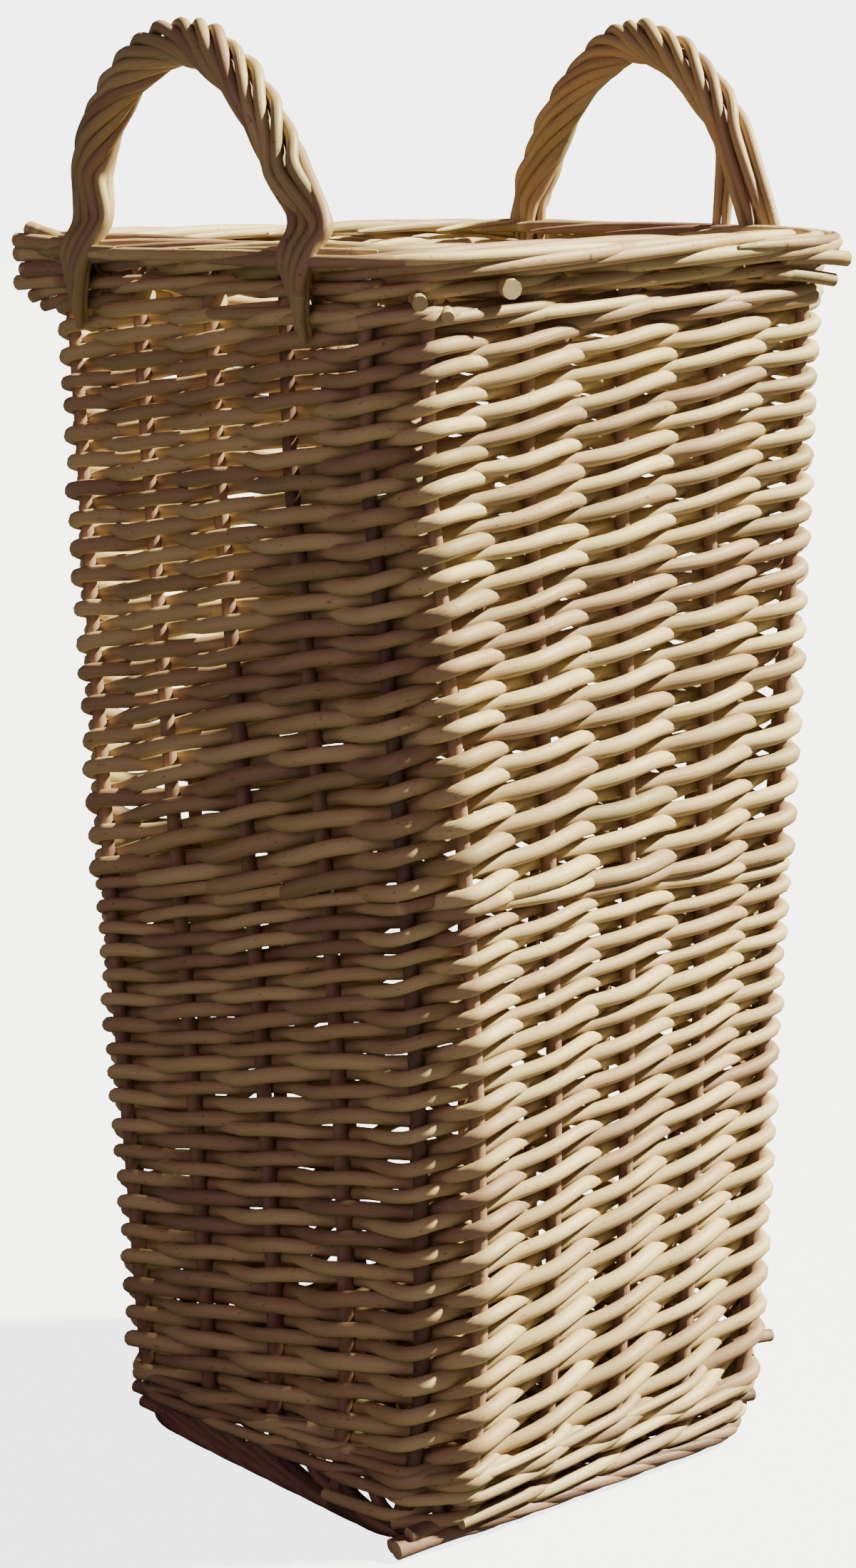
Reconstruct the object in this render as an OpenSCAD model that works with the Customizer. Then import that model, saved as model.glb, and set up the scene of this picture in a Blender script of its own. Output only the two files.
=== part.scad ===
// Tall square log basket of round willow rods, woven on upright stakes, with two
// roped bow handles. Millimetres, +Z up, the origin on the floor under the middle.
// The handles stand on the -X and +X walls.

/* [Body] */
// Height from the floor to the top of the rim
body_h = 563; // [400:1:760]
// Width across the foot at the floor
foot_w = 221; // [160:1:290]
// How far each wall flares out just above the foot
knee_flare = 8.7; // [4:0.1:16]
// Height of that flare above the floor
knee_h = 37; // [25:1:60]
// Width across the weave just under the rim
neck_w = 269; // [190:1:340]
// How far the walls belly out between knee and neck
belly = 0.5; // [0:0.5:8]
// Length cut off each side of a corner
corner_cut = 24; // [12:1:40]
// Height of the joint between the lower and the upper siding
joint_h = 279; // [180:1:380]

/* [Twist of the hand-woven body] */
// Largest turn of the body against its rim, in degrees
turn_max = 6.6; // [0:0.1:10]
// Height of the largest turn
turn_h = 136; // [80:1:200]
// Depth below the top of the rim over which the body stands square
square_drop = 98; // [94:1:140]

/* [Weave] */
// Thickness of the woven wall, from the outer rods to the inner rods
wall_t = 22; // [16:0.5:30]
// Height of the woven band between the foot and the lower siding
low_wale_h = 20.5; // [12:0.5:32]
// Height of the woven band under the rim
top_wale_h = 13.5; // [8:0.5:24]
// Clearance between pieces that touch
gap = 0.3; // [0.1:0.05:0.8]

/* [Stakes] */
// Diameter of an upright stake
stake_d = 7; // [5:0.5:10]
// Height of a stake's lower end above the floor
stake_foot = 4; // [2:0.5:8]
// Stakes along each side, with the two at its corners
stakes_per_side = 5; // [4:1:7]

/* [Foot and base] */
// Height of the foot ring
foot_h = 12.5; // [9:0.5:20]
// How far the foot ring reaches in under the base
foot_ledge = 5; // [3:0.5:10]
// Thickness of the woven base
base_t = 12; // [10:0.5:18]
// Diameter of a base stick
base_stick_d = 7; // [5:0.5:8]
// Number of base sticks
base_sticks = 5; // [3:1:7]
// Distance from an outer base stick to the base's edge
base_edge = 21; // [12:0.5:30]

/* [Rim] */
// Thickness of each of the rim's three rolled rods
rim_rod_d = 13; // [12:0.5:16]
// Ease between the stakes and the rim's outer and inner rods
rim_ease = 1; // [0.5:0.1:3]

/* [Handles] */
// Diameter of the bow rod inside a handle
bow_d = 10; // [6:0.5:12]
// Length of bow that is pushed down beside the stakes
bow_depth = 90; // [40:1:90]
// Place of a handle's rear leg, from the side's last stake but one (0) to its corner stake (1)
rear_place = 0.56; // [0.3:0.02:0.7]
// Place of a handle's front leg, between the same two stakes
front_place = 0.32; // [0.3:0.02:0.7]
// Place of a handle's peak along the side
peak_y = 8; // [-10:1:20]
// Height of a handle's peak above the rim, to the middle of the bow
bow_rise = 80; // [50:1:120]
// Outward lean of a handle at its peak
bow_lean = 4; // [0:0.5:10]
// Diameter of a wrapping rod
wrap_d = 4.6; // [3:0.1:5.5]
// Turns of the wrapping round a bow
wrap_turns = 2.3; // [1:0.1:4]

/* [Hidden] */
// Sides of a rod's section, and of a wrapping rod's.
rod_sides = 8;
wrap_sides = 6;
$fn = 48;
// Points along a bow's arch.
arch_steps = 22;
// A line set in by 1 on the sides and on the cut corner shortens the cut by this.
cut_inset = 2 - sqrt(2);

// The rim's outer and inner rods stand clear of the stakes and of the bows, and its top
// rod lies in the groove between them.
rim_side = max(stake_d, bow_d) / 2 + rim_ease + rim_rod_d / 2;
rim_drop = sqrt(max(0, pow(rim_rod_d + gap, 2) - pow(rim_side, 2)));
rim_z = body_h - rim_rod_d - rim_drop;
square_h = body_h - square_drop;
knee_half = foot_w / 2 + knee_flare;
neck_z = rim_z - gap;
low_band = [foot_h + gap, foot_h + gap + low_wale_h];
top_band = [neck_z - top_wale_h, neck_z];
lower_siding = [low_band[1] + gap, joint_h];
upper_siding = [joint_h + gap, top_band[0] - gap];

stake_count = 4 * stakes_per_side;
two = function(i) i < 10 ? str("0", i) : str(i);
stake_name = function(k) str("stake_", two(k + 1));
stick_name = function(k) str("base_stick_", k + 1);
STAKES = [for (k = [0:stake_count - 1]) stake_name(k)];
STICKS = [for (k = [0:base_sticks - 1]) stick_name(k)];

// Colours of the willow: brown and buff rods, and the paler peeled ones.
brown = [0.42, 0.31, 0.22];
buff = [0.72, 0.60, 0.42];
straw = [0.82, 0.74, 0.53];
olive = [0.62, 0.56, 0.36];

// ---- The body's profile ----

// Share of the way from the knee to the neck.
function rise_at(z) = (z - knee_h) / (neck_z - knee_h);
// Half width across the outside of the weave at height z.
function half_at(z) = z < knee_h
    ? foot_w / 2 + knee_flare * z / knee_h
    : knee_half + (neck_w / 2 - knee_half) * rise_at(z) + belly * sin(180 * min(1, rise_at(z)));
// The turn builds up fast over the knee, and dies away up the body.
function turn_at(z) = z < turn_h ? turn_max * (1 - pow(1 - z / turn_h, 4))
    : z < square_h ? turn_max * cos(90 * (z - turn_h) / (square_h - turn_h)) : 0;
// Half width of the ring that the stakes' middles stand on.
function mid_at(z) = half_at(z) - wall_t / 2;

function turned(p, a) = [p[0] * cos(a) - p[1] * sin(a), p[0] * sin(a) + p[1] * cos(a)];
// A square with cut corners, from the +X side anticlockwise.
function cut_square(half, cut, a) =
    [for (q = [0:3]) each [turned([half, cut - half], 90 * q + a), turned([half, half - cut], 90 * q + a)]];
// The body's outline at height z, set in from the outside of the weave.
function outline(z, inset) =
    cut_square(half_at(z) - inset, corner_cut - cut_inset * inset, turn_at(z));
// Heights at which the walls are drawn between z0 and z1.
knots = [0, knee_h / 2, knee_h, 80, turn_h, 210, 310, 390, square_h, body_h];
function levels(z0, z1) = concat([z0], [for (z = knots) if (z > z0 + 1 && z < z1 - 1) z], [z1]);

// Distance from the middle of a side to its corner stakes.
function reach_at(z) = mid_at(z) - corner_cut + cut_inset * wall_t / 2;
// Share of that distance from one stake to the next.
stake_step = 2 / (stakes_per_side - 1);
// Middle of stake k at height z.
function stake_at(k, z) =
    let (side = floor(k / stakes_per_side), i = k % stakes_per_side,
         p = turned([mid_at(z), reach_at(z) * (stake_step * i - 1)], 90 * side + turn_at(z)))
    [p[0], p[1], z];

// ---- Solids from rings of points ----

// A closed skin over rings that run anticlockwise as seen from the last ring.
module skin(rings, closed = false) {
    n = len(rings);
    m = len(rings[0]);
    last = closed ? n - 1 : n - 2;
    sides = [for (i = [0:last], j = [0:m - 1])
        let (a = i * m + j, b = i * m + (j + 1) % m,
             c = (i + 1) % n * m + (j + 1) % m, d = (i + 1) % n * m + j)
        each [[a, c, b], [a, d, c]]];
    ends = closed ? [] : [[for (j = [0:m - 1]) j], [for (j = [m - 1:-1:0]) (n - 1) * m + j]];
    polyhedron([for (r = rings) each r], concat(ends, sides), convexity = 6);
}

// A round ring about p, in the plane of the directions u and v.
function ring(p, r, u, v, sides) =
    [for (j = [0:sides - 1]) p + r * (cos(360 * j / sides) * u + sin(360 * j / sides) * v)];

// An upright rod through points at rising heights.
module upright_rod(points, r) {
    skin([for (p = points) ring(p, r, [1, 0, 0], [0, 1, 0], rod_sides)]);
}

// A closed ring of rod round the body, mitred at each corner of the cut square.
module rod_loop(half, cut, z, d) {
    skin([for (i = [0:7]) [for (j = [0:rod_sides - 1])
        let (out = d / 2 * sin(360 * j / rod_sides),
             p = cut_square(half + out, cut + cut_inset * out, 0)[i])
        [p[0], p[1], z + d / 2 * cos(360 * j / rod_sides)]]],
        closed = true);
}

// ---- Stakes ----

stake_top = body_h - rim_rod_d - gap;

module stake_line(k, r, z0, z1) {
    upright_rod([for (z = levels(z0, z1)) stake_at(k, z)], r);
}

module stake(k) {
    color(brown) stake_line(k, stake_d / 2, stake_foot, stake_top);
}

// ---- Woven bands: rods packed over and under the stakes ----

module cut_tower(z0, z1, inset) {
    skin([for (z = levels(z0, z1)) [for (p = outline(z, inset)) [p[0], p[1], z]]]);
}

// Every channel that a stake or a bow needs between z0 and z1.
module channels(z0, z1) {
    for (k = [0:stake_count - 1]) stake_line(k, stake_d / 2 + gap, z0 - 1, z1 + 1);
}

module woven_band(span) {
    difference() {
        cut_tower(span[0], span[1], 0);
        cut_tower(span[0] - 1, span[1] + 1, wall_t);
        channels(span[0], span[1]);
    }
}

module bottom_wale() color(brown) woven_band(low_band);
module siding_lower() color(buff) woven_band(lower_siding);

module siding_upper() {
    color(straw) difference() {
        woven_band(upper_siding);
        bow_channels();
    }
}

module top_wale() {
    color(olive) difference() {
        woven_band(top_band);
        bow_channels();
    }
}

// ---- Foot and base ----

module foot_border() {
    color(brown) difference() {
        linear_extrude(foot_h) polygon(cut_square(foot_w / 2, corner_cut, 0));
        translate([0, 0, -1]) linear_extrude(foot_h + 2)
            polygon(cut_square(base_half - foot_ledge, corner_cut - cut_inset * foot_t, 0));
        for (k = [0:stake_count - 1])
            stake_line(k, stake_d / 2 + gap, stake_foot - gap, foot_h + 1);
    }
}

base_z = foot_h + gap;
// The base lies flat while the wall round it turns, so it keeps clear of it by this.
base_ease = 1.5;
base_half = half_at(base_z) - wall_t - base_ease;
base_turn = turn_at(base_z + base_t / 2);
stick_z = base_z + base_t / 2;
stick_pitch = 2 * (base_half - base_edge) / (base_sticks - 1);
foot_t = foot_w / 2 - base_half + foot_ledge;

module stick_rod(k, r, length) {
    y = (k - (base_sticks - 1) / 2) * stick_pitch;
    rotate([0, 0, base_turn]) translate([-length / 2, y, stick_z]) rotate([0, 90, 0])
        cylinder(h = length, r = r);
}

module base_stick(k) {
    color(brown) stick_rod(k, base_stick_d / 2, 2 * base_half - 2);
}

module base_weave() {
    cut = corner_cut - cut_inset * wall_t;
    color(buff) difference() {
        translate([0, 0, base_z]) linear_extrude(base_t)
            polygon(cut_square(base_half, max(1, cut), base_turn));
        for (k = [0:base_sticks - 1]) stick_rod(k, base_stick_d / 2 + gap, 3 * base_half);
    }
}

// ---- Rim: three rods rolled down over the stakes ----

rim_low_z = rim_z + rim_rod_d / 2;

module rim_rod(offset, z) {
    mid_cut = corner_cut - cut_inset * wall_t / 2;
    rod_loop(mid_at(neck_z) + offset, mid_cut + cut_inset * offset, z, rim_rod_d);
}

module rim_outer_rod() color(straw) rim_rod(rim_side, rim_low_z);
module rim_inner_rod() color(straw) rim_rod(-rim_side, rim_low_z);

module rim_top_rod() {
    color(straw) difference() {
        rim_rod(0, body_h - rim_rod_d / 2);
        bow_channels();
    }
}

// ---- Handles: a bow rod with wrapping rods wound along it ----

// How full each half of the arch is: 2 is an ellipse, 1 a straight side.
arch_full = [[2, 1.45], [1.5, 1.65]];
arch_z = body_h - 3;
rear_y = reach_at(neck_z) * (1 - stake_step * (1 - rear_place));
front_y = -reach_at(neck_z) * (1 - stake_step * (1 - front_place));

// Point of the arch at angle t, from the rear leg over the peak to the front leg.
function arch_point(t, hand) =
    let (rear = t < 90, full = arch_full[hand][rear ? 0 : 1],
         y = peak_y + ((rear ? rear_y : front_y) - peak_y) * pow(abs(cos(t)), 2 / full),
         up = pow(sin(t), 2 / full),
         x = mid_at(neck_z) + bow_lean * up)
    [x, y, arch_z + (body_h + bow_rise - arch_z) * up];

function arch(hand) = [for (i = [0:arch_steps]) arch_point(180 * i / arch_steps, hand)];
function leg(y, z) = [mid_at(z), y, z];
function bow_line(hand) = concat(
    [leg(rear_y, body_h - bow_depth), leg(rear_y, neck_z)],
    arch(hand),
    [leg(front_y, neck_z), leg(front_y, body_h - bow_depth)]);

// Direction of a line at its point i, in the plane of the handle.
function heading(line, i) =
    let (d = line[min(i + 1, len(line) - 1)] - line[max(i - 1, 0)])
    [0, d[1], d[2]] / norm([0, d[1], d[2]]);
function across(t) = [0, -t[2], t[1]];

module bow_rod(hand, r) {
    line = bow_line(hand);
    skin([for (i = [0:len(line) - 1])
        ring(line[i], r, across(heading(line, i)), [1, 0, 0], rod_sides)]);
}

// As many wrapping rods as lie side by side round the bow.
wrap_lift = bow_d / 2 + wrap_d / 2 + gap / 2;
wraps = floor(2 * PI * wrap_lift / (1.2 * wrap_d));

// One wrapping rod, wound round the part of the arch that stands clear of the rim.
module wrap_rod(hand, phase) {
    line = arch(hand);
    skin([for (i = [0:len(line) - 1])
        if (line[i][2] > body_h + 2)
            let (n = across(heading(line, i)),
                 a = phase + 360 * wrap_turns * i / arch_steps,
                 p = line[i] + wrap_lift * (cos(a) * n + sin(a) * [1, 0, 0]))
            ring(p, wrap_d / 2, n, [1, 0, 0], wrap_sides)]);
}

// hand 0 is the left handle, on the -X wall, and hand 1 the right one, on the +X wall.
module on_wall(hand) {
    if (hand == 0) mirror([1, 0, 0]) children();
    else children();
}

module bow_channels() {
    for (hand = [0, 1]) on_wall(hand) bow_rod(hand, bow_d / 2 + gap);
}

module handle_bow(hand) {
    color(brown) on_wall(hand) bow_rod(hand, bow_d / 2);
}

module handle_wrap(hand) {
    color(olive) on_wall(hand)
        for (k = [0:wraps - 1]) wrap_rod(hand, 360 * k / wraps);
}

foot_border();
bottom_wale();
siding_lower();
siding_upper();
top_wale();
rim_outer_rod();
rim_top_rod();
rim_inner_rod();
base_weave();
for (k = [0:base_sticks - 1]) base_stick(k);
for (k = [0:stake_count - 1]) stake(k);
handle_bow(0);  // handle_left_bow
handle_wrap(0);  // handle_left_wrap
handle_bow(1);  // handle_right_bow
handle_wrap(1);  // handle_right_wrap
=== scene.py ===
# A tall square log basket, woven of round willow rods round upright stakes.
# Metres, +Z up, the origin on the floor under the basket, as in the frame.

import math
import random

import bpy
from mathutils import Matrix, Vector


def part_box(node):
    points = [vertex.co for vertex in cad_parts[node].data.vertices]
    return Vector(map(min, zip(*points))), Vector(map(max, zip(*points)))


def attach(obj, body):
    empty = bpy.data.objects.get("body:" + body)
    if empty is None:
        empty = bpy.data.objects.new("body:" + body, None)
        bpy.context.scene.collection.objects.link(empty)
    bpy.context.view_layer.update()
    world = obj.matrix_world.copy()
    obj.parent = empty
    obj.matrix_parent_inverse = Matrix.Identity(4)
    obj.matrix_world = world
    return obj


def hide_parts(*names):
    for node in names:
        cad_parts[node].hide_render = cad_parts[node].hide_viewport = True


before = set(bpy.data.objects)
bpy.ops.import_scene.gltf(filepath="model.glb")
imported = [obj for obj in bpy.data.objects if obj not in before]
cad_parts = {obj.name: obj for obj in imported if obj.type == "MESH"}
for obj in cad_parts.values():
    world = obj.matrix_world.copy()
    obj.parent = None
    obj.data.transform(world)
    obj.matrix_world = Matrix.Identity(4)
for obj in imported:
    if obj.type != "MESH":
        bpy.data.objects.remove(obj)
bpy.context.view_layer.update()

MM = 0.001

# ---------------------------------------------------------------- the body's shape

FOOT_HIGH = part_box("foot_border")[1]
NECK_LOW, NECK_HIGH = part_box("top_wale")
RIM_LOW, RIM_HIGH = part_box("rim_outer_rod")
RIM_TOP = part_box("rim_top_rod")[1][2]
BASE_LOW, BASE_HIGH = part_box("base_weave")
WALE_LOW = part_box("bottom_wale")[0]
LOWER_LOW, LOWER_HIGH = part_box("siding_lower")
UPPER_LOW, UPPER_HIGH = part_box("siding_upper")

SIDES = 4
STAKES_PER_SIDE = 5
STAKES = SIDES * STAKES_PER_SIDE
STAKE_R = 3.5 * MM
WALL_T = 22 * MM
FOOT_HALF = FOOT_HIGH[0]
NECK_HALF = NECK_HIGH[0]
RIM_HALF = RIM_HIGH[0]
NECK_Z = NECK_HIGH[2]
FLARE = 8.7 * MM                # each wall flares out by this just above the foot,
FLARE_Z = 37 * MM               # up to this height
BELLY = 0.5 * MM                # and bellies out by this from there to the neck
CORNER_CUT = 24 * MM            # length cut off each side of a corner
CUT_INSET = 2 - math.sqrt(2)    # a line set in by 1 shortens that cut by this
TURN_MAX = math.radians(6.6)    # the body is turned most against its rim
TURN_Z = 136 * MM               # at this height,
SQUARE_Z = RIM_TOP - 98 * MM    # and stands square from here up

rng = random.Random(11)


def half_at(z):
    """Half width across the outside of the weave at height z."""
    if z < FLARE_Z:
        return FOOT_HALF + FLARE * max(z, 0) / FLARE_Z
    rise = (z - FLARE_Z) / (NECK_Z - FLARE_Z)
    knee = FOOT_HALF + FLARE
    return knee + (NECK_HALF - knee) * rise + BELLY * math.sin(math.pi * min(1, rise))


def turn_at(z):
    """How far the body is turned against its rim at height z."""
    z = max(z, 0)
    if z < TURN_Z:
        return TURN_MAX * (1 - (1 - z / TURN_Z) ** 4)
    if z < SQUARE_Z:
        return TURN_MAX * math.cos(math.pi / 2 * (z - TURN_Z) / (SQUARE_Z - TURN_Z))
    return 0.0


def mid_at(z):
    """Half width of the ring that the stakes stand on."""
    return half_at(z) - WALL_T / 2


def reach_at(z):
    """Distance from the middle of a side to its corner stakes."""
    return mid_at(z) - CORNER_CUT + CUT_INSET * WALL_T / 2


def stake_spot(k, z):
    """Place and outward direction of stake k on the ring, before the body's turn."""
    side, i = divmod(k % STAKES, STAKES_PER_SIDE)
    share = 2 * i / (STAKES_PER_SIDE - 1) - 1
    spot = Vector((mid_at(z), reach_at(z) * share))
    lean = math.pi / 8 * (1 if i == STAKES_PER_SIDE - 1 else -1 if i == 0 else 0)
    out = Vector((math.cos(lean), math.sin(lean)))
    turn = Matrix.Rotation(side * math.pi / 2, 2)
    return turn @ spot, turn @ out


def around(u, z, out):
    """The point at stake number u, between stakes too, at height z and out beyond the ring."""
    k = math.floor(u)
    share = u - k
    a, a_out = stake_spot(k, z)
    b, b_out = stake_spot(k + 1, z)
    ease = share * share * (3 - 2 * share)
    p = a.lerp(b, share) + a_out.lerp(b_out, ease).normalized() * out
    p = Matrix.Rotation(turn_at(z), 2) @ p
    return Vector((p.x, p.y, z))


# ---------------------------------------------------------------- rods

SAMPLES = 8                 # points along a rod from one stake to the next
STAKE_GAP = 0.05            # about the way along the wall from one stake to the next
JOINT_SWELL = 0.05          # how much a rod thickens at a joint, as a share of its radius
JOINT_LENGTH = 4 * MM
BUTT_STEPS = 8
BUTT_BOW = 0.8 * MM         # how far a cut end bows up along its length
ROD_EDGES = 3               # steps of a rod's round section, which has this many sides:
ROD_SIDES = 2 * ROD_EDGES + 4


def smoothed(points, times):
    """The points with their kinks eased out. The ends stay."""
    for _ in range(times):
        mid = [(a + 2 * b + c) / 4 for a, b, c in zip(points, points[1:], points[2:])]
        points = [points[0]] + mid + [points[-1]]
    return points


def wander(size, step):
    """A slow random drift: returns a function of distance along the rod."""
    waves = [(rng.uniform(0.6, 1.4) / step, rng.uniform(0, math.tau), w) for w in (1, 0.6, 0.4)]
    return lambda s: size / 2 * sum(w * math.sin(math.tau * f * s + p) for f, p, w in waves)


def rod(points, butt, tip):
    """A willow rod along the points, thinning from its butt to its tip, with faint joints."""
    places = [0.0]
    for a, b in zip(points, points[1:]):
        places.append(places[-1] + (b - a).length)
    length = places[-1]
    first_joint, joint_gap = rng.uniform(0, 0.05), rng.uniform(0.045, 0.08)
    swell = wander(0.05, 0.12)
    radii = []
    for s in places:
        near = (s - first_joint) % joint_gap
        near = min(near, joint_gap - near) / JOINT_LENGTH
        radius = butt + (tip - butt) * s / length
        radii.append(radius * (1 + swell(s) + JOINT_SWELL * math.exp(-near * near)))
    return {"points": points, "radii": radii, "places": places, "tint": rng.random(),
            "start": rng.uniform(0, 50)}


def pointed(piece, reach, least, at_start=False):
    """The rod drawn out thin over its last stretch, or at both its ends."""
    length = piece["places"][-1]
    for i, s in enumerate(piece["places"]):
        left = min(s, length - s) if at_start else length - s
        if left < reach:
            piece["radii"][i] *= least + (1 - least) * math.sqrt(left / reach)
    return piece


def side_point(side, x, y, z):
    """A point given on the +X side, out x and along y, carried round to the side asked for."""
    turn = Matrix.Rotation(side * math.pi / 2 + turn_at(z), 2)
    p = turn @ Vector((x, y))
    return Vector((p.x, p.y, z))


def butt_end(side, start, end, radius):
    """A cut rod end that runs on past a corner or out of the wall. All but side is in mm."""
    points = []
    for i in range(BUTT_STEPS + 1):
        mark = Vector(start).lerp(Vector(end), i / BUTT_STEPS) * MM
        rise = BUTT_BOW * math.sin(math.pi * i / BUTT_STEPS)
        points.append(side_point(side, mark.x, mark.y, mark.z + rise))
    return rod(points, radius * MM * 0.92, radius * MM)


def lay_rods(name, rods, material, slot, *nodes):
    """Draws every rod as a spline with its own thickness, and turns them into one mesh.

    The mesh takes the place of the CAD nodes that are named."""
    curve = bpy.data.curves.new(name, "CURVE")
    curve.dimensions = "3D"
    curve.bevel_depth = 1.0
    curve.bevel_resolution = ROD_EDGES
    curve.use_fill_caps = True
    for r in rods:
        spline = curve.splines.new("POLY")
        spline.points.add(len(r["points"]) - 1)
        for point, place, radius in zip(spline.points, r["points"], r["radii"]):
            point.co = (*place, 1)
            point.radius = radius
    piece = bpy.data.objects.new(name, curve)
    bpy.context.scene.collection.objects.link(piece)
    bpy.ops.object.select_all(action="DESELECT")
    piece.select_set(True)
    bpy.context.view_layer.objects.active = piece
    bpy.ops.object.convert(target="MESH")
    mark_rods(piece.data, rods)
    bpy.ops.object.mode_set(mode="EDIT")
    bpy.ops.mesh.select_all(action="SELECT")
    bpy.ops.mesh.remove_doubles(threshold=1e-6)
    bpy.ops.mesh.normals_make_consistent(inside=False)
    bpy.ops.object.mode_set(mode="OBJECT")
    bpy.ops.object.shade_smooth_by_angle(angle=math.radians(50))
    piece.data.materials.clear()
    piece.data.materials.append(material)
    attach(piece, "root")
    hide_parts(*nodes)


def mark_rods(mesh, rods):
    """Gives each vertex its rod's tint and its place in the rod's own straight wood."""
    tints, places = [], []
    for r in rods:
        rings = list(zip(r["places"], r["radii"]))
        caps = [rings[0], rings[-1]]
        for s, radius in rings + caps:
            for j in range(ROD_SIDES):
                a = math.tau * j / ROD_SIDES
                places += [radius * math.cos(a) + r["start"], radius * math.sin(a), s]
                tints.append(r["tint"])
    tint = mesh.attributes.new("rod_tint", "FLOAT", "POINT")
    tint.data.foreach_set("value", tints)
    place = mesh.attributes.new("rod_place", "FLOAT_VECTOR", "POINT")
    place.data.foreach_set("vector", places)
    cut = mesh.attributes.new("cut_end", "FLOAT", "FACE")
    cut.data.foreach_set("value", [1.0 if len(p.vertices) == 3 else 0.0 for p in mesh.polygons])


# ---------------------------------------------------------------- willow

def input_socket(group, name, kind, value):
    socket = group.interface.new_socket(name, in_out="INPUT", socket_type=kind)
    socket.default_value = value


def make_grain_group():
    """Streaks, blotches, freckles and the relief of willow skin, along each rod."""
    group = bpy.data.node_groups.new("willow_grain", "ShaderNodeTree")
    group.interface.new_socket("Place", in_out="INPUT", socket_type="NodeSocketVector")
    input_socket(group, "Streak Scale", "NodeSocketFloat", 900.0)
    input_socket(group, "Blotch Scale", "NodeSocketFloat", 40.0)
    for name in ("Streak", "Blotch", "Freckle", "Relief"):
        group.interface.new_socket(name, in_out="OUTPUT", socket_type="NodeSocketFloat")
    nodes, links = group.nodes, group.links
    into = nodes.new("NodeGroupInput")
    out = nodes.new("NodeGroupOutput")

    def stretched(along):
        stretch = nodes.new("ShaderNodeVectorMath")
        stretch.operation = "MULTIPLY"
        stretch.inputs[1].default_value = (1, 1, along)
        links.new(into.outputs["Place"], stretch.inputs[0])
        return stretch.outputs[0]

    def noise(vector, scale, detail, rough):
        texture = nodes.new("ShaderNodeTexNoise")
        links.new(vector, texture.inputs["Vector"])
        if isinstance(scale, str):
            links.new(into.outputs[scale], texture.inputs["Scale"])
        else:
            texture.inputs["Scale"].default_value = scale
        texture.inputs["Detail"].default_value = detail
        texture.inputs["Roughness"].default_value = rough
        return texture.outputs["Fac"]

    streak = noise(stretched(0.04), "Streak Scale", 3, 0.6)
    blotch = noise(stretched(0.35), "Blotch Scale", 3, 0.55)
    freckle = noise(stretched(0.5), 700.0, 1, 0.5)
    spots = nodes.new("ShaderNodeMapRange")
    spots.inputs["From Min"].default_value = 0.68
    spots.inputs["From Max"].default_value = 0.78
    links.new(freckle, spots.inputs["Value"])
    relief = nodes.new("ShaderNodeMath")
    relief.operation = "MULTIPLY_ADD"
    relief.inputs[1].default_value = 0.5
    links.new(blotch, relief.inputs[0])
    links.new(streak, relief.inputs[2])
    links.new(streak, out.inputs["Streak"])
    links.new(blotch, out.inputs["Blotch"])
    links.new(spots.outputs[0], out.inputs["Freckle"])
    links.new(relief.outputs[0], out.inputs["Relief"])
    return group


GRAIN = make_grain_group()
SKIN_RELIEF = 0.35
BLOTCH_SHARE = 0.55         # how far the blotches along a rod shift its colour


def willow(name, skins, rough=0.55):
    """Willow whose rods differ: skins are the colours that a rod's tint picks from."""
    material = bpy.data.materials.new(name)
    material.use_nodes = True
    nodes, links = material.node_tree.nodes, material.node_tree.links
    shader = nodes["Principled BSDF"]
    place = nodes.new("ShaderNodeAttribute")
    place.attribute_name = "rod_place"
    tint = nodes.new("ShaderNodeAttribute")
    tint.attribute_name = "rod_tint"
    cut = nodes.new("ShaderNodeAttribute")
    cut.attribute_name = "cut_end"
    grain = nodes.new("ShaderNodeGroup")
    grain.node_tree = GRAIN
    links.new(place.outputs["Vector"], grain.inputs["Place"])

    drift = nodes.new("ShaderNodeMath")
    drift.operation = "MULTIPLY_ADD"
    drift.inputs[1].default_value = BLOTCH_SHARE
    links.new(grain.outputs["Blotch"], drift.inputs[0])
    shift = nodes.new("ShaderNodeMath")
    shift.operation = "SUBTRACT"
    shift.inputs[1].default_value = BLOTCH_SHARE / 2
    links.new(tint.outputs["Fac"], shift.inputs[0])
    links.new(shift.outputs[0], drift.inputs[2])
    skin = nodes.new("ShaderNodeValToRGB")
    ramp = skin.color_ramp.elements
    while len(ramp) < len(skins):
        ramp.new(0.5)
    for i, colour in enumerate(skins):
        ramp[i].position = i / (len(skins) - 1)
        ramp[i].color = (*colour, 1)
    links.new(drift.outputs[0], skin.inputs["Fac"])

    def tinted(base, factor, colour, share, mode="MULTIPLY"):
        mix = nodes.new("ShaderNodeMix")
        mix.data_type = "RGBA"
        mix.blend_type = mode
        amount = nodes.new("ShaderNodeMath")
        amount.operation = "MULTIPLY"
        amount.inputs[1].default_value = share
        links.new(factor, amount.inputs[0])
        links.new(amount.outputs[0], mix.inputs["Factor"])
        links.new(base, mix.inputs["A"])
        mix.inputs["B"].default_value = (*colour, 1)
        return mix.outputs["Result"]

    colour = tinted(skin.outputs["Color"], grain.outputs["Streak"], (0.62, 0.5, 0.36), 0.55)
    colour = tinted(colour, grain.outputs["Freckle"], (0.3, 0.2, 0.13), 0.7)
    colour = tinted(colour, cut.outputs["Fac"], (0.45, 0.34, 0.2), 0.8, "MIX")
    links.new(colour, shader.inputs["Base Color"])

    gloss = nodes.new("ShaderNodeMapRange")
    gloss.inputs["To Min"].default_value = rough - 0.1
    gloss.inputs["To Max"].default_value = rough + 0.15
    links.new(grain.outputs["Streak"], gloss.inputs["Value"])
    links.new(gloss.outputs[0], shader.inputs["Roughness"])
    shader.inputs["Specular IOR Level"].default_value = 0.4
    bump = nodes.new("ShaderNodeBump")
    bump.inputs["Strength"].default_value = SKIN_RELIEF
    bump.inputs["Distance"].default_value = 0.6 * MM
    links.new(grain.outputs["Relief"], bump.inputs["Height"])
    links.new(bump.outputs["Normal"], shader.inputs["Normal"])
    return material


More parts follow.
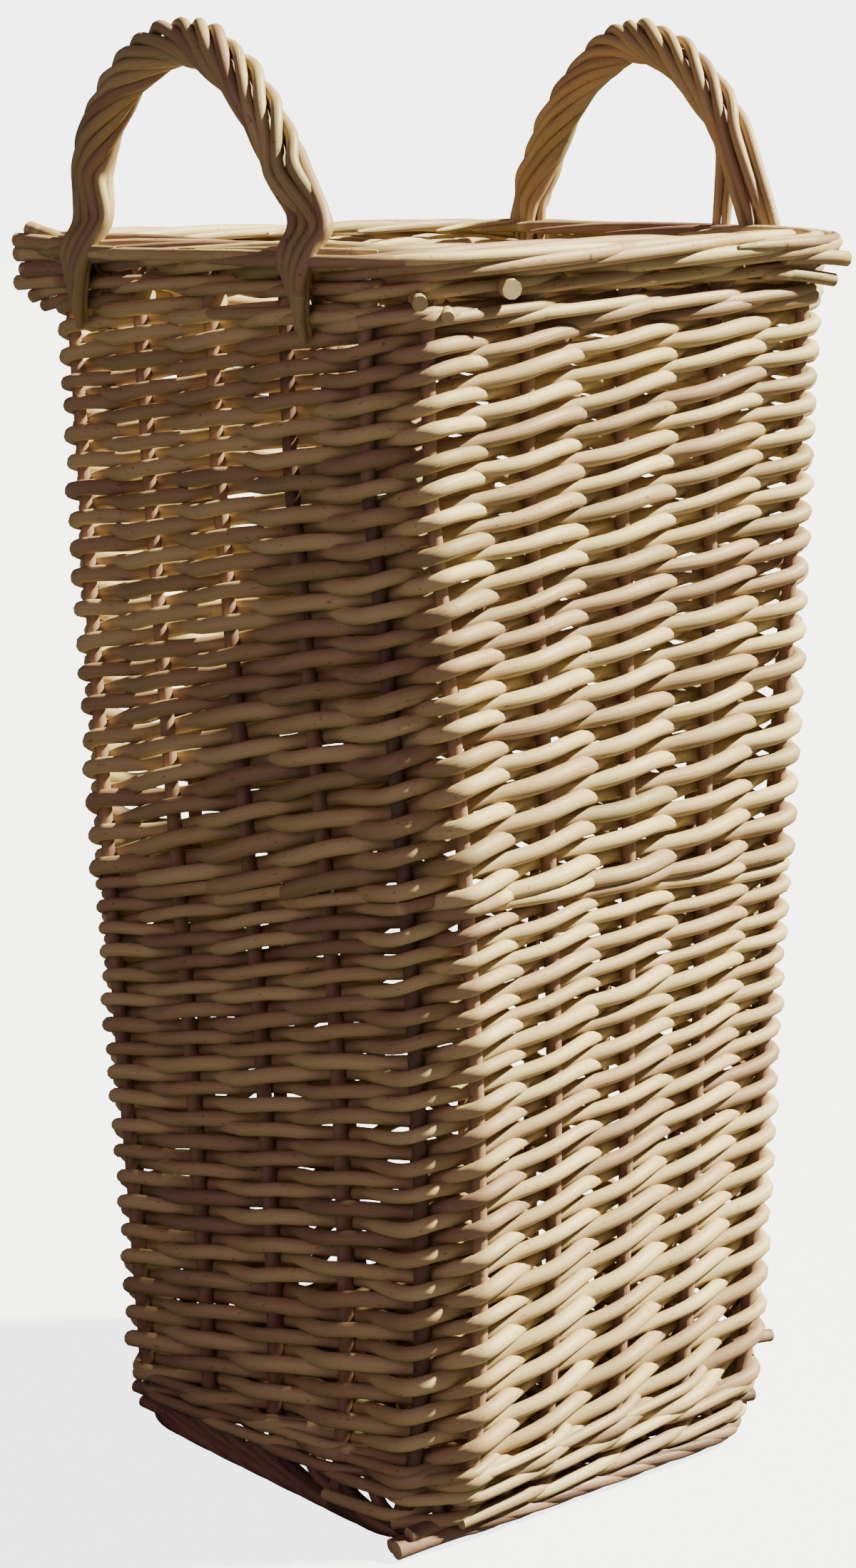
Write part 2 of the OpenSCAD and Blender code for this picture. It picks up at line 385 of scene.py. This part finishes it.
BROWN = (0.09, 0.047, 0.036)
ROSE = (0.2, 0.108, 0.084)
TAN = (0.26, 0.158, 0.105)
BUFF = (0.34, 0.227, 0.135)
STRAW = (0.43, 0.315, 0.17)
CREAM = (0.52, 0.41, 0.22)
OLIVE = (0.27, 0.205, 0.1)

siding_willow = willow("siding_willow", [TAN, BUFF, STRAW, CREAM, STRAW, BUFF, OLIVE])
stake_willow = willow("stake_willow", [BROWN, ROSE, TAN, ROSE])
rim_willow = willow("rim_willow", [ROSE, TAN, BUFF, STRAW, CREAM, OLIVE])
foot_willow = willow("foot_willow", [BROWN, BROWN, ROSE, TAN, BROWN])
wrap_willow = willow("wrap_willow", [TAN, BUFF, STRAW, OLIVE, STRAW, OLIVE], rough=0.5)
base_willow = willow("base_willow", [ROSE, TAN, BUFF, STRAW])

# ---------------------------------------------------------------- stakes

STAKE_STEPS = 60
STAKE_NODES = [f"stake_{k + 1:02d}" for k in range(STAKES)]


def stake_rod(k):
    """Stake k, upright from the foot to just under the rim."""
    low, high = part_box(STAKE_NODES[k])
    sway = wander(1.2 * MM, 0.3)
    points = []
    for i in range(STAKE_STEPS + 1):
        z = low[2] + (high[2] - low[2]) * i / STAKE_STEPS
        points.append(around(k + sway(z) * 8, z, 0))
    return rod(points, STAKE_R * rng.uniform(0.96, 1.04), STAKE_R * 0.85)


lay_rods("stakes", [stake_rod(k) for k in range(STAKES)], stake_willow, "brown_willow",
         *STAKE_NODES)

# ---------------------------------------------------------------- siding: French randing

STROKES = 40             # a weaver's passes, behind and in front, from its band's foot to its top
CROWD = 0.16             # the rows crowd together upwards as the rods thin
STROKE_LIFT = 0.0047     # a rod lies higher in front of a stake than behind it, most at the foot
LIFT_Z = 0.57            # and not at all at this height,
SIDE_LIFT = 0.85 * MM    # more so on two of the sides and less on the other two
STROKE_TIP = 0.4 * MM    # on those two a rod comes out low between the stakes and goes in high,
TIP_SHARE = 0.3          # with this share of it added on every side
STROKE_SLANT = 0.9 * MM  # a rod climbs most across the front of the stake
STROKE_UNEVEN = 0.8      # how far a stroke may lie above or below its place, in mm
SQUEEZE = 0.97           # the rods press into the stakes
END_STROKES = 3          # a rod's first and last strokes ease in over this many
NEAR_CORNER = 14.5       # the corner that faces the camera, counted in stakes
TILT_REACH = 120 * MM    # the rows' tilt dies away over this height


def joint_tilt(u, z):
    """How far the hand-woven rows climb or sag at stake number u, most at the joint."""
    a = math.tau * (u - NEAR_CORNER) / STAKES
    tilt = 5 * math.cos(a) + 7 * math.cos(2 * a) + 3 * math.sin(a)
    near = (z - LOWER_HIGH[2]) / TILT_REACH
    return tilt * MM * math.exp(-near * near)


def weaver(start, low, high, butt, tip):
    """One weaver: behind the stake it starts at, in front of the next, and so on upwards."""
    lift, depth = wander(1.4 * MM, 0.16), wander(1.0 * MM, 0.11)
    stroke_lift = [rng.uniform(-STROKE_UNEVEN, STROKE_UNEVEN) * MM for _ in range(STROKES + 2)]
    points = []
    count = STROKES * SAMPLES
    for i in range(count + 1):
        t = i / SAMPLES
        share = i / count
        radius = butt + (tip - butt) * share
        k = int(t)
        z = low + (high - low) * share * (1 + CROWD - CROWD * share)
        z += lift(t * STAKE_GAP) + stroke_lift[k] * (1 - t + k) + stroke_lift[k + 1] * (t - k)
        ease = min(1, t / END_STROKES, (STROKES - t) / END_STROKES)
        sides = math.sin(math.tau * (start + t - NEAR_CORNER) / (STAKES / 2))
        z -= ease * (STROKE_LIFT * (LIFT_Z - z) + SIDE_LIFT * sides) * math.cos(math.pi * t)
        z -= ease * STROKE_TIP * (TIP_SHARE + sides) * math.sin(math.pi * t)
        if 0.5 < t % 2 < 1.5:
            z -= ease * STROKE_SLANT * math.sin(math.tau * (t % 2 - 0.5))
        swing = -math.cos(math.pi * t)
        out = swing * (STAKE_R + radius) * SQUEEZE + depth(t * STAKE_GAP)
        points.append(around(start + t, z + joint_tilt(start + t, z), out))
    return rod(smoothed(points, 2), butt, tip)


def siding(name, node, slot, low, high, butt, tip, sink):
    """A band of weavers, one from each stake. It starts sink strokes under its CAD band."""
    weavers = []
    pitch = (high - low) / STROKES
    for k in range(STAKES):
        thick = rng.uniform(0.9, 1.07)
        first, last = low + butt - sink * pitch, high - tip + 1.2 * pitch
        weavers.append(weaver(k, first, last, butt * thick, tip * thick))
    lay_rods(name, weavers, siding_willow, slot, node)


siding("lower_weavers", "siding_lower", "buff_willow", LOWER_LOW[2], LOWER_HIGH[2],
       butt=3.75 * MM, tip=3.1 * MM, sink=2)
siding("upper_weavers", "siding_upper", "straw_willow", UPPER_LOW[2], UPPER_HIGH[2],
       butt=3.9 * MM, tip=3.25 * MM, sink=1)

# ---------------------------------------------------------------- wales: three rods at a time

WALE_RODS = 3
WALE_SINK = 4 * MM       # a wale starts this far under its CAD band


def wale_rod(k, first, laps, low, radius):
    """One rod of a wale: in front of two stakes, behind one, climbing its own height a lap."""
    lap_rise = 4 * radius
    count = int(laps * STAKES * SAMPLES)
    points = []
    lift = wander(0.6 * MM, 0.2)
    for i in range(count + 1):
        t = i / SAMPLES
        phase = (t + 0.5) % WALE_RODS
        swing = max(-1, min(1, 1.7 * math.cos(math.tau * (phase - 1) / WALE_RODS) + 0.15))
        slant = (phase - 1) if phase < 2 else 1 - 2 * (phase - 2)
        z = low + radius * (1 + slant) + lap_rise * (t + k) / STAKES + lift(t * STAKE_GAP)
        points.append(around(first + k + t, z, swing * (STAKE_R + radius)))
    return rod(smoothed(points, 2), radius, radius * 0.85)


def wale(name, node, slot, material, low, first, laps, radius):
    rods = [wale_rod(k, first, laps, low - WALE_SINK, radius) for k in range(WALE_RODS)]
    lay_rods(name, rods, material, slot, node)


wale("bottom_wale_rods", "bottom_wale", "brown_willow", siding_willow, WALE_LOW[2],
     first=13, laps=2.2, radius=2.9 * MM)
wale("top_wale_rods", "top_wale", "straw_willow", rim_willow, NECK_LOW[2],
     first=12, laps=2.4, radius=2.7 * MM)

# ---------------------------------------------------------------- rim and foot borders

def border_rod(start, track, radius, thin, samples=6):
    """A stake's tip bent over and laid along the border. track gives (steps on, out, height)."""
    points = []
    for (t0, out0, z0), (t1, out1, z1) in zip(track, track[1:]):
        for i in range(samples):
            s = i / samples
            z, out = z0 + (z1 - z0) * s, out0 + (out1 - out0) * s
            points.append(around(start + t0 + (t1 - t0) * s, z, out))
    t, out, z = track[-1]
    points.append(around(start + t, z, out))
    return rod(smoothed(points, 6), radius, radius * thin)


def rolled_track(centre_z, wide, tall, first_angle, last_angle, steps):
    """A run of the rod over the border's rounded section, from one angle to another in degrees."""
    track = []
    for i in range(steps + 1):
        a = math.radians(first_angle + (last_angle - first_angle) * i / steps)
        track.append((i, wide * math.cos(a), centre_z + tall * math.sin(a)))
    return track


RIM_ROD_R = 4.1 * MM
RIM_MIDDLE = (RIM_LOW[2] + RIM_TOP) / 2
RIM_WIDE = RIM_HALF - mid_at(NECK_Z) - RIM_ROD_R
RIM_TALL = (RIM_TOP - RIM_LOW[2]) / 2 - RIM_ROD_R
LOOSE_RIM_RODS = 14      # short rods that lie over the rolled ones

# Cut ends that show at the rim: side, start and end as (out, along, up) in mm, radius in mm.
RIM_ENDS = (
    (2, (129, -84, 552), (136, -119, 563), 3.6), (2, (136, -70, 554), (139, -124, 558), 3.4),
    (2, (131, -92, 550), (137, -127, 552), 3.8), (2, (130, -86, 546), (139, -120, 545), 3.6),
    (2, (128, -78, 541), (136, -129, 539), 3.5), (2, (127, -98, 538), (133, -123, 533), 3.1),
    (2, (124, -80, 535), (130, -118, 529), 2.8), (1, (124, 90, 549), (134, 122, 561), 3.4),
    (3, (132, 84, 549), (138, 117, 548), 3.6), (3, (130, 74, 543), (135, 112, 539), 3.0),
    (3, (114, -106, 540), (134, -118, 538), 3.3), (3, (117, -92, 536), (134, -104, 532), 2.7),
    (3, (116, -66, 543), (138, -74, 542), 4.2))


def rim_rods():
    """The stakes' tops bent over and rolled round the rim, and short rods laid over them."""
    rods = []
    for k in range(STAKES):
        off, up = rng.uniform(-0.8, 0.8) * MM, rng.uniform(-1.1, 1.1) * MM
        bend = [(0.0, 0.0, NECK_LOW[2]), (0.15, -1 * MM, RIM_LOW[2]),
                (0.9, -8 * MM, RIM_LOW[2] + 3 * MM), (1.5, 0.0, RIM_LOW[2] + 2 * MM)]
        track = rolled_track(RIM_MIDDLE, RIM_WIDE, RIM_TALL, -45, rng.uniform(140, 175), 4)
        roll = [(t + 2.2, out + off, z + up) for t, out, z in track]
        laid = border_rod(k, bend + roll, RIM_ROD_R * rng.uniform(0.86, 1.06), 0.6)
        rods.append(pointed(laid, 45 * MM, 0.35))
    for _ in range(LOOSE_RIM_RODS):
        low, rise = rng.uniform(-35, 10), rng.uniform(25, 60)
        track = rolled_track(RIM_MIDDLE, RIM_WIDE + 0.8 * MM, RIM_TALL, low, low + rise, 3)
        laid = border_rod(rng.uniform(0, STAKES), track, RIM_ROD_R * rng.uniform(0.6, 0.8), 0.8)
        rods.append(pointed(laid, 40 * MM, 0.3, True))
    return rods


rim_ends = [butt_end(*end) for end in RIM_ENDS]
lay_rods("rim_rods", rim_rods() + rim_ends, rim_willow, "straw_willow",
         "rim_outer_rod", "rim_top_rod", "rim_inner_rod")

FOOT_ROD_R = 3.3 * MM
FOOT_RODS = 2 * STAKES
# Cut ends that show at the foot, given in the same way as the rim's.
FOOT_ENDS = (
    (3, (104, -62, 5), (101, -114, 4.5), 4.2), (3, (103, -70, 11), (100, -109, 10), 3.4),
    (3, (99, -80, 4), (95, -112, 4), 3.2), (3, (104, 70, 20), (106, 98, 19), 3.2),
    (3, (110, 80, 47), (112, 104, 46), 3.0), (2, (104, -70, 16), (105, -104, 18), 3.2),
    (2, (104, -74, 8), (103, -102, 9), 3.0))


def foot_rods():
    """Short rods rolled down over the foot's edge like the strands of a rope."""
    wide = FOOT_HALF - mid_at(0) - FOOT_ROD_R
    tall = FOOT_HIGH[2] / 2 - FOOT_ROD_R
    rods = []
    track = rolled_track(FOOT_HIGH[2] / 2, wide, tall, 75, -160, 4)
    for k in range(FOOT_RODS):
        bend = [(0.0, 0.0, WALE_LOW[2] + 9 * MM), (0.2, 1 * MM, FOOT_HIGH[2])]
        roll = [(0.7 * t + 0.6, out, z) for t, out, z in track]
        laid = border_rod(k / 2, bend + roll, FOOT_ROD_R * rng.uniform(0.88, 1.0), 0.8, samples=5)
        rods.append(pointed(laid, 20 * MM, 0.5))
    return rods


foot_ends = [butt_end(*end) for end in FOOT_ENDS]
lay_rods("foot_rods", foot_rods() + foot_ends, foot_willow, "brown_willow", "foot_border")

# ---------------------------------------------------------------- base

BASE_STICKS = [f"base_stick_{k + 1}" for k in range(5)]
BASE_MIDDLE = (BASE_LOW[2] + BASE_HIGH[2]) / 2
BASE_TURN = Matrix.Rotation(turn_at(BASE_MIDDLE), 3, "Z")
BASE_STICK_R = 3.5 * MM
STICK_TIP_R = 3.3 * MM
BASE_ROD_R = 2.4 * MM
BASE_ROD_STEPS = 60
STICK_STEPS = 24


def stick_y(name):
    """How far to the side of the middle a base stick lies."""
    low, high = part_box(name)
    return (low[1] + high[1]) / 2 / math.cos(turn_at(BASE_MIDDLE))


BASE_PITCH = stick_y(BASE_STICKS[1]) - stick_y(BASE_STICKS[0])


def base_rods():
    """Fine rods woven over and under the base sticks, side by side."""
    turn = turn_at(BASE_MIDDLE)
    half = BASE_HIGH[0] / (math.cos(turn) + math.sin(turn)) + 2 * MM
    rows = int(2 * half / (2 * BASE_ROD_R * 1.02))
    rods = []
    for row in range(rows):
        x = -half + (row + 0.5) * 2 * half / rows
        points = []
        for i in range(BASE_ROD_STEPS + 1):
            y = -half + 2 * half * i / BASE_ROD_STEPS
            weave = math.cos(math.pi * y / BASE_PITCH) * (1 if row % 2 else -1)
            z = BASE_MIDDLE + weave * (BASE_ROD_R + STICK_TIP_R) * 0.92
            points.append(BASE_TURN @ Vector((x, y, z)))
        rods.append(rod(points, BASE_ROD_R, BASE_ROD_R * 0.9))
    return rods


lay_rods("base_rods", base_rods(), base_willow, "buff_willow", "base_weave")


def base_stick_rods():
    rods = []
    for name in BASE_STICKS:
        low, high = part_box(name)
        half = (high[0] - low[0]) / 2
        points = [BASE_TURN @ Vector((half * (2 * i / STICK_STEPS - 1), stick_y(name), BASE_MIDDLE))
                  for i in range(STICK_STEPS + 1)]
        rods.append(rod(points, BASE_STICK_R, STICK_TIP_R))
    return rods


lay_rods("base_sticks", base_stick_rods(), stake_willow, "brown_willow", *BASE_STICKS)

# ---------------------------------------------------------------- handles

CAD_BOW_R = 5 * MM
BOW_R = 3.9 * MM
BOW_TUCK = 6 * MM        # a bow's legs run this far inside the stakes,
LEG_STEPS = 12           # and of these steps up to the rim
TUCKED_STEPS = 8         # so many pass before they come back out
ARCH_STEPS = 72
WRAP_R = 3.0 * MM
WRAPS = 8
WRAP_TURNS = 2.1
WRAP_STEPS = 120
KNUCKLE = 2.6 * MM       # the wrapping rods stand up over the outside of the bend
ARCH_Z = RIM_TOP - 3 * MM
# The way down of a wrapping rod's end past the rim: mm above the rim's top, mm out from the
# middle of the wall, and how much of the bundle's full width is left there.
OUTSIDE_WAY = ((7, 9.5, 1.3), (0, 12.5, 1.2), (-5, 15.5, 1.05), (-11, 17.2, 0.9),
               (-17, 17, 0.7), (-25, 15, 0.5), (-33, 13, 0.35), (-42, 9, 0.3))
STRAIGHT_WAY = ((-2, 4, 1.0), (-8, 4, 1.0), (-16, 3, 1.0))


class Handle:
    """One roped handle: side -1 stands on the -X wall, +1 on the +X wall."""

    def __init__(self, name, side, peak_y, drop, fullness, lean, shift, ways):
        low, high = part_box(f"handle_{name}_bow")
        self.name, self.side, self.peak_y = name, side, peak_y + shift
        self.rear, self.front = high[1] - CAD_BOW_R + shift, low[1] + CAD_BOW_R + shift
        self.deep, self.peak_z = low[2], high[2] - CAD_BOW_R - drop
        self.fullness, self.lean, self.ways = fullness, lean, ways

    def arch(self, share):
        """Point of the arch, from the rear leg at 0 to the front leg at 1."""
        a = math.pi * share
        half = 0 if share < 0.5 else 1
        leg = (self.rear, self.front)[half]
        power = 2 / self.fullness[half]
        up = max(math.sin(a), 0) ** power
        y = self.peak_y + (leg - self.peak_y) * abs(math.cos(a)) ** power
        z = ARCH_Z + (self.peak_z - ARCH_Z) * up
        return Vector((self.side * (mid_at(NECK_Z) + self.lean), y, z))

    def bow(self):
        """The bow rod, its legs pushed down inside the weave and brought out through the rim."""
        line = [self.arch(i / ARCH_STEPS) for i in range(ARCH_STEPS + 1)]
        legs = []
        for y in (self.rear, self.front):
            leg = []
            for i in range(LEG_STEPS):
                z = self.deep + (ARCH_Z - self.deep) * i / LEG_STEPS
                come_out = max(0, i - TUCKED_STEPS) / (LEG_STEPS - TUCKED_STEPS)
                out = (self.lean + BOW_TUCK) * come_out - BOW_TUCK
                leg.append(Vector((self.side * (mid_at(z) + out), y, z)))
            legs.append(leg)
        return rod(smoothed(legs[0] + line + legs[1][::-1], 3), BOW_R, BOW_R * 0.95)

    def share_at(self, z, half):
        """The share of the arch at which its leg passes height z."""
        up = (z - ARCH_Z) / (self.peak_z - ARCH_Z)
        a = math.asin(up ** (self.fullness[half] / 2)) / math.pi
        return a if half == 0 else 1 - a

    def wrapping(self):
        """The wrapping rods, tucked in at the rear leg, wound round the bow and tucked in in front."""
        ends = [self.share_at(RIM_TOP + self.ways[half][0] * MM, half) for half in (0, 1)]
        radii = [WRAP_R * rng.uniform(0.86, 1.12) for _ in range(WRAPS)]
        ropes = []
        for k in range(WRAPS):
            rope = []
            bulge = wander(1.0 * MM, 0.05)
            for i in range(WRAP_STEPS + 1):
                share = ends[0] + (ends[1] - ends[0]) * i / WRAP_STEPS
                here = self.arch(share)
                ahead, behind = self.arch(min(1, share + 0.005)), self.arch(max(0, share - 0.005))
                way = (ahead - behind).normalized()
                outer = Vector((0, way.z, -way.y))
                a = math.tau * (k / WRAPS + WRAP_TURNS * share)
                lift = BOW_R + radii[k] * 0.9 + bulge(i * MM * 2) + KNUCKLE * max(0, math.cos(a)) ** 3
                rope.append(here + lift * (math.cos(a) * outer + math.sin(a) * Vector((-1, 0, 0))))
            ropes.append(rope)
        tails = [self.tails(ropes, 0, self.rear), self.tails(ropes, -1, self.front)]
        rods = []
        for k, rope in enumerate(ropes):
            start = through(tails[0][k][::-1] + rope[:1], 5)[:-1]
            end = through(rope[-1:] + tails[1][k], 5)[1:]
            laid = rod(smoothed(start + rope + end, 4), radii[k], radii[k] * 0.9)
            rods.append(pointed(laid, 35 * MM, 0.55, True))
        return rods

    def tails(self, ropes, end, y):
        """The rods' ends at one leg, laid side by side in the order that they come down in."""
        _, groups = self.ways[end]
        order = sorted(range(WRAPS), key=lambda k: ropes[k][end].y)
        tails = {}
        for count, way, first, last, wide, sink in groups:
            centres = [first + (last - first) * (i / (len(way) - 1)) ** 2
                       for i in range(len(way))]
            taken, order = order[:count], order[count:]
            for rank, k in enumerate(taken):
                place = (rank / (count - 1) - 0.5 if count > 1 else 0) * wide
                short = 1 - 0.06 * rank
                layer = sink if rank % 2 else 0
                tails[k] = [Vector((self.side * (mid_at(NECK_Z) + (out - layer) * MM),
                                    y + (centre + place * share) * MM,
                                    RIM_TOP + up * (short if up < 0 else 1) * MM))
                            for (up, out, share), centre in zip(way, centres)]
        return tails


def through(marks, steps):
    """A smooth line through the marks."""
    padded = [2 * marks[0] - marks[1]] + marks + [2 * marks[-1] - marks[-2]]
    line = []
    for a, b, c, d in zip(padded, padded[1:], padded[2:], padded[3:]):
        for i in range(steps):
            t = i / steps
            line.append(0.5 * (2 * b + (c - a) * t + (2 * a - 5 * b + 4 * c - d) * t * t
                               + (3 * b - a - 3 * c + d) * t ** 3))
    line.append(marks[-1])
    return line


# For each leg: mm above the rim's top where the rope comes apart, and its groups of rods from
# the front backwards: how many, their way down, the first and last middle along the wall, how
# wide they lie, and how far in every other one is.
LEFT_WAYS = ((24, ((8, OUTSIDE_WAY, -6, 9, 19, 3.4),)), (24, ((8, OUTSIDE_WAY, -9, -2, 19, 3.4),)))
RIGHT_WAYS = ((8, ((8, STRAIGHT_WAY, 0, 0, 14, 5),)),
              (36, ((2, STRAIGHT_WAY, -12, -14, 4, 2), (4, STRAIGHT_WAY, -1, -1, 9, 3),
                    (2, STRAIGHT_WAY, 20, 22, 4, 2))))
HANDLES = (Handle("left", -1, peak_y=2 * MM, drop=3 * MM, fullness=(2.1, 1.6),
                  lean=7 * MM, shift=-3 * MM, ways=LEFT_WAYS),
           Handle("right", 1, peak_y=9 * MM, drop=0, fullness=(1.6, 1.7),
                  lean=4 * MM, shift=0, ways=RIGHT_WAYS))
for handle in HANDLES:
    lay_rods(f"{handle.name}_bow", [handle.bow()], stake_willow, "brown_willow",
             f"handle_{handle.name}_bow")
    lay_rods(f"{handle.name}_wrapping", handle.wrapping(), wrap_willow, "olive_willow",
             f"handle_{handle.name}_wrap")

# ---------------------------------------------------------------- floor, light and camera

def camera_switch(tree, plain, seen):
    """A value that is `seen` where the camera looks and `plain` for the light that bounces."""
    path = tree.nodes.new("ShaderNodeLightPath")
    switch = tree.nodes.new("ShaderNodeMapRange")
    switch.inputs["To Min"].default_value = plain
    switch.inputs["To Max"].default_value = seen
    tree.links.new(path.outputs["Is Camera Ray"], switch.inputs["Value"])
    return switch.outputs[0]


def floor_material(name, seen, lit, glow):
    """Pale to look at, its shadow faint, and dark to the light, so that it throws little back up."""
    material = bpy.data.materials.new(name)
    material.use_nodes = True
    tree = material.node_tree
    shader = tree.nodes["Principled BSDF"]
    tree.links.new(camera_switch(tree, lit, seen), shader.inputs["Base Color"])
    shader.inputs["Emission Color"].default_value = (1, 1, 0.99, 1)
    tree.links.new(camera_switch(tree, 0, glow), shader.inputs["Emission Strength"])
    shader.inputs["Roughness"].default_value = 0.9
    return material


bpy.ops.object.select_all(action="DESELECT")
bpy.ops.mesh.primitive_plane_add(size=24, location=(0, 0, 0))
floor = bpy.context.object
floor.name = "floor"
floor.data.materials.append(floor_material("pale_floor", seen=0.35, lit=0.04, glow=3.6))

world = bpy.data.worlds.new("studio")
bpy.context.scene.world = world
world.use_nodes = True
air = world.node_tree.nodes["Background"]
air.inputs["Color"].default_value = (1, 0.97, 0.97, 1)
world.node_tree.links.new(camera_switch(world.node_tree, 0.07, 5.0), air.inputs["Strength"])


def aimed(name, light, place, aim):
    lamp = bpy.data.objects.new(name, light)
    bpy.context.scene.collection.objects.link(lamp)
    turn = (Vector(place) - Vector(aim)).to_track_quat("Z", "Y").to_matrix().to_4x4()
    lamp.matrix_world = Matrix.Translation(place) @ turn


key = bpy.data.lights.new("key", "SUN")
key.angle = math.radians(3)
key.energy = 26
key.color = (1.0, 0.98, 0.66)
aimed("key", key, (2.6, -1.9, 3.3), (0, 0, 0.3))
fill = bpy.data.lights.new("fill", "AREA")
fill.shape = "DISK"
fill.size = 2.5
fill.energy = 22
fill.color = (1.0, 0.66, 0.78)
aimed("fill", fill, (-2.5, -1.2, 1.5), (0, 0, 0.3))

CAMERA_TURN = math.radians(-39.3)
CAMERA_AWAY = 1.465
CAMERA_Z = 0.6056
CAMERA_PITCH = math.radians(11.37)
CAMERA_YAW = math.radians(0.23)
CAMERA_ROLL = math.radians(-0.55)
camera_data = bpy.data.cameras.new("camera")
camera_data.sensor_width = 36
camera_data.lens = 75
camera = bpy.data.objects.new("camera", camera_data)
bpy.context.scene.collection.objects.link(camera)
camera.matrix_world = (Matrix.Translation((math.sin(CAMERA_TURN) * CAMERA_AWAY,
                                           -math.cos(CAMERA_TURN) * CAMERA_AWAY, CAMERA_Z))
                       @ Matrix.Rotation(CAMERA_TURN + CAMERA_YAW, 4, "Z")
                       @ Matrix.Rotation(math.pi / 2 - CAMERA_PITCH, 4, "X")
                       @ Matrix.Rotation(CAMERA_ROLL, 4, "Z"))
bpy.context.scene.camera = camera
